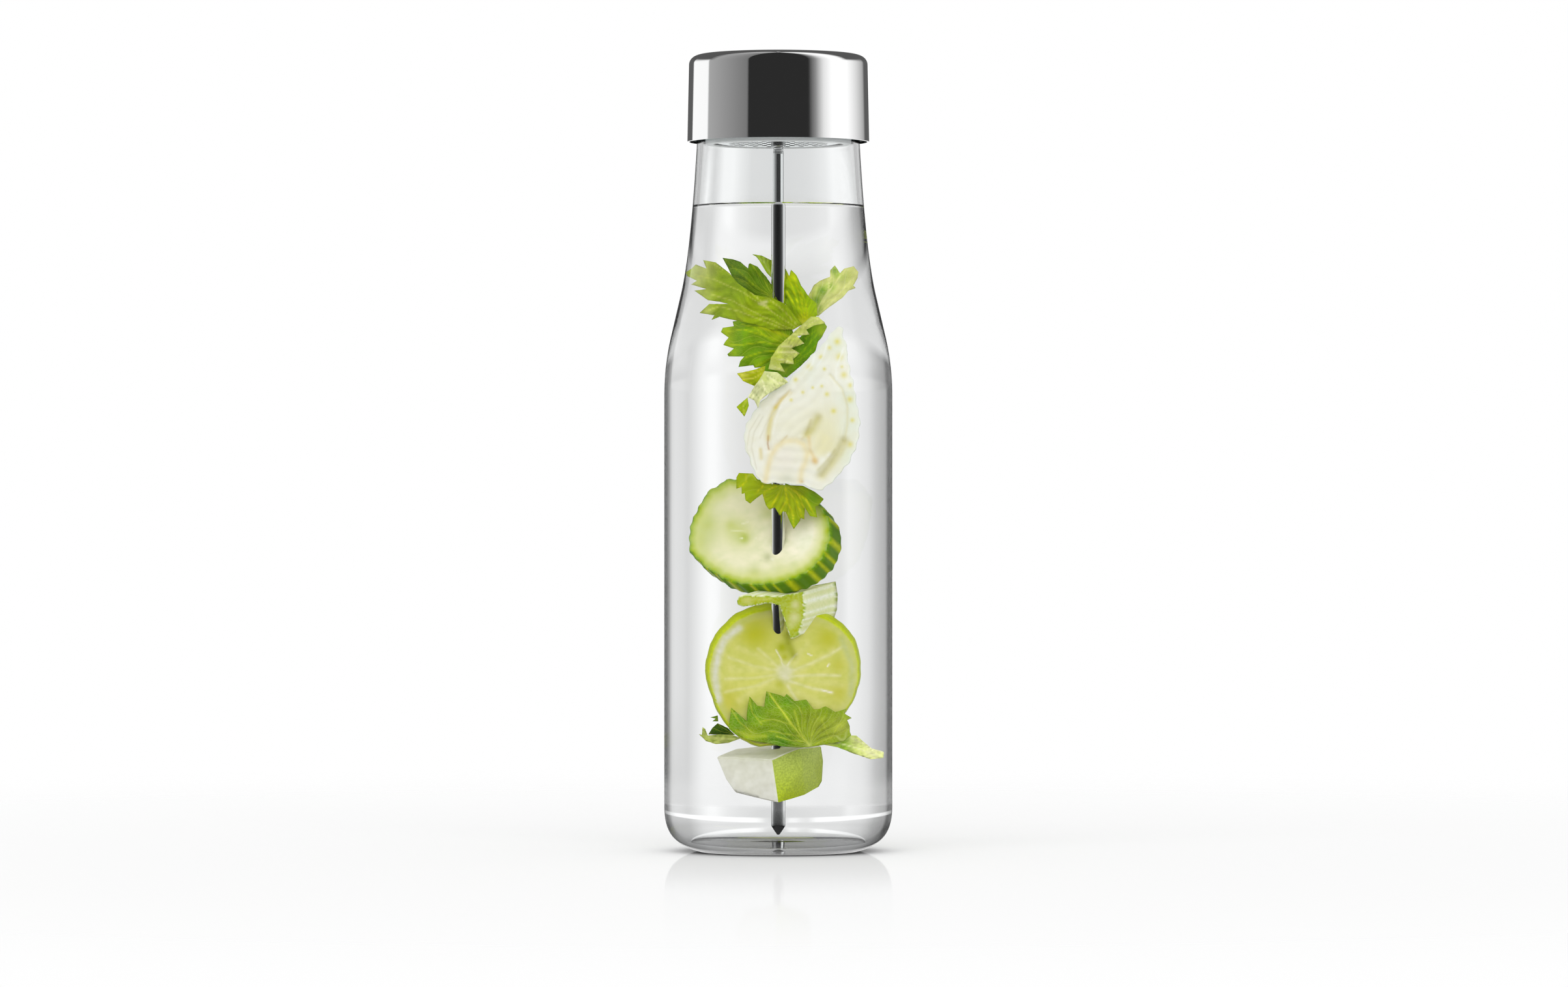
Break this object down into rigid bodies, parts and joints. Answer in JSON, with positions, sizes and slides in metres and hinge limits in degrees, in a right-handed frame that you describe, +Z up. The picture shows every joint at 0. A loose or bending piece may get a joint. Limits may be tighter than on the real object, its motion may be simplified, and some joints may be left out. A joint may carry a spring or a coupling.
{
  "type": "water carafe",
  "caption": "Tall clear glass carafe with a sloping shoulder, a steel lid that pours by itself, a perforated strainer and a long steel skewer inside.",
  "frame": {"origin": "on the floor, under the middle of the bottle", "axes": "+Z up along the bottle; the lid pours towards -Y and its flap is hinged on the +Y side"},
  "size_m": [0.086, 0.086, 0.2993],
  "materials": {
    "glass": "clear blown glass, polished",
    "polished_steel": "mirror-polished stainless steel",
    "satin_steel": "satin stainless steel",
    "moulded_plastic": "fine moulded",
    "silicone": "milky silicone"
  },
  "bodies": {
    "bottle": {"glass_bottle": "glass"},
    "lid": {"lid_core": "moulded_plastic", "rim_gasket": "silicone", "neck_seal": "silicone", "cap_shell": "polished_steel", "pour_deck": "moulded_plastic", "deck_gasket": "silicone", "hinge_pin": "satin_steel", "strainer": "satin_steel", "strainer_ring": "satin_steel", "skewer_socket": "satin_steel"},
    "flap": {"flap_plate": "polished_steel", "flap_carrier": "moulded_plastic", "flap_seal": "silicone", "counterweight": "satin_steel", "weight_pin": "satin_steel"},
    "skewer": {"skewer": "polished_steel"}
  },
  "joints": [
    {"name": "lid_lift", "type": "slide", "parent": "bottle", "child": "lid", "axis": [0, 0, 1], "range_m": [0, 0.3]},
    {"name": "flap_tilt", "type": "hinge", "parent": "lid", "child": "flap", "pos_m": [0, 0.0185, 0.29719], "axis": [-1, 0, 0], "range_deg": [0, 55]},
    {"name": "skewer_turn", "type": "hinge", "parent": "lid", "child": "skewer", "pos_m": [0, 0, 0.13], "axis": [0, 0, 1], "range_deg": [0, 1800]}
  ]
}
